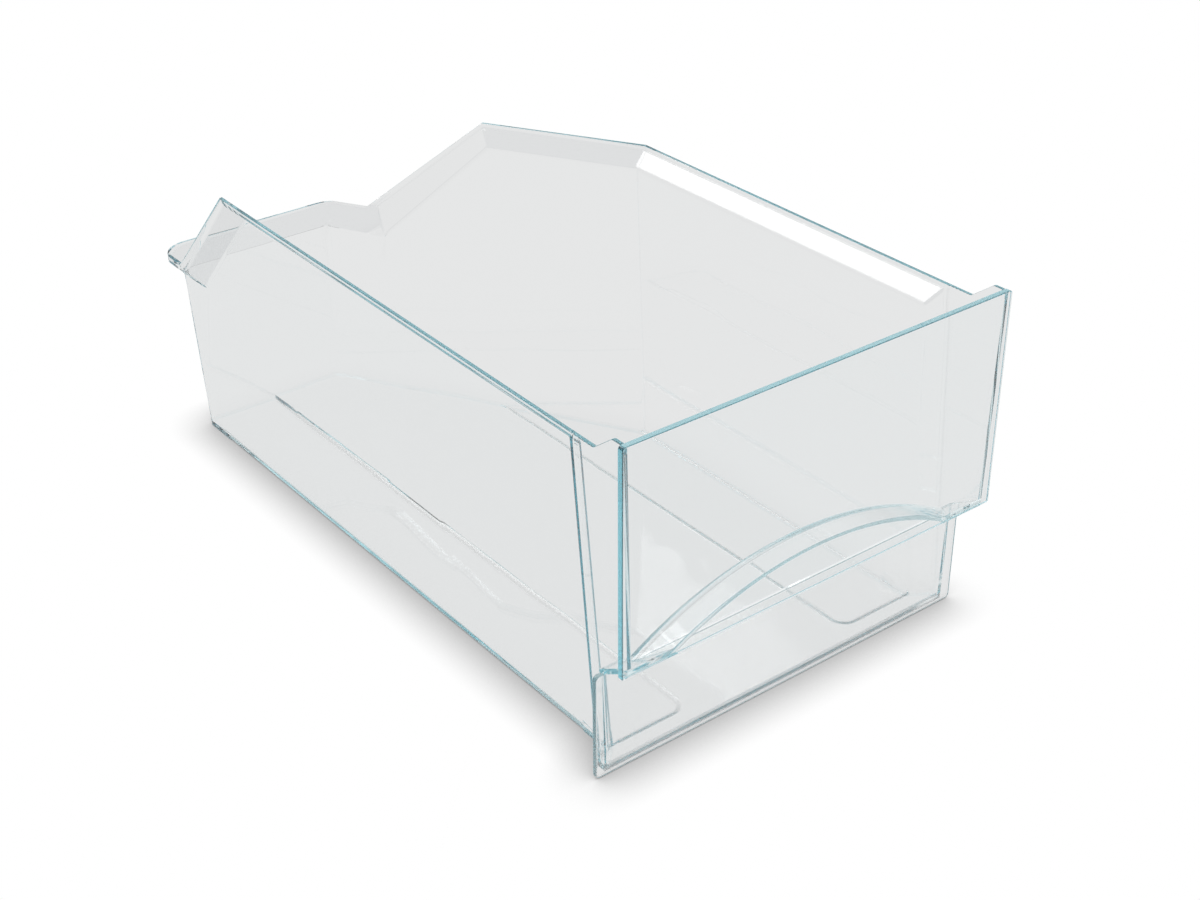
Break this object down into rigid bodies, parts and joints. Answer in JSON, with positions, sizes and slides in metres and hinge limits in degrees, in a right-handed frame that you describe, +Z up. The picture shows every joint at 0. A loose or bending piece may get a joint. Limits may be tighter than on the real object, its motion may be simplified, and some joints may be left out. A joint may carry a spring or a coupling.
{
  "type": "refrigerator crisper drawer",
  "caption": "Clear plastic crisper drawer: open-topped bin with a ramped left rim, a diagonal rear wall, a tall flat front panel and an arched finger grip under it.",
  "frame": {"origin": "under the middle of the drawer, at the centre of its bounding box's bottom, level with the runner pads' undersides", "axes": "+X to the right as seen from the front, +Y to the back, +Z up"},
  "size_m": [0.235, 0.448, 0.186],
  "materials": {
    "clear_plastic": "gloss",
    "hazy_plastic": "satin"
  },
  "bodies": {
    "root": {"bin_shell": "clear_plastic", "upper_front_panel": "clear_plastic", "grip_arch": "clear_plastic", "lower_front_panel": "hazy_plastic"}
  },
  "joints": []
}
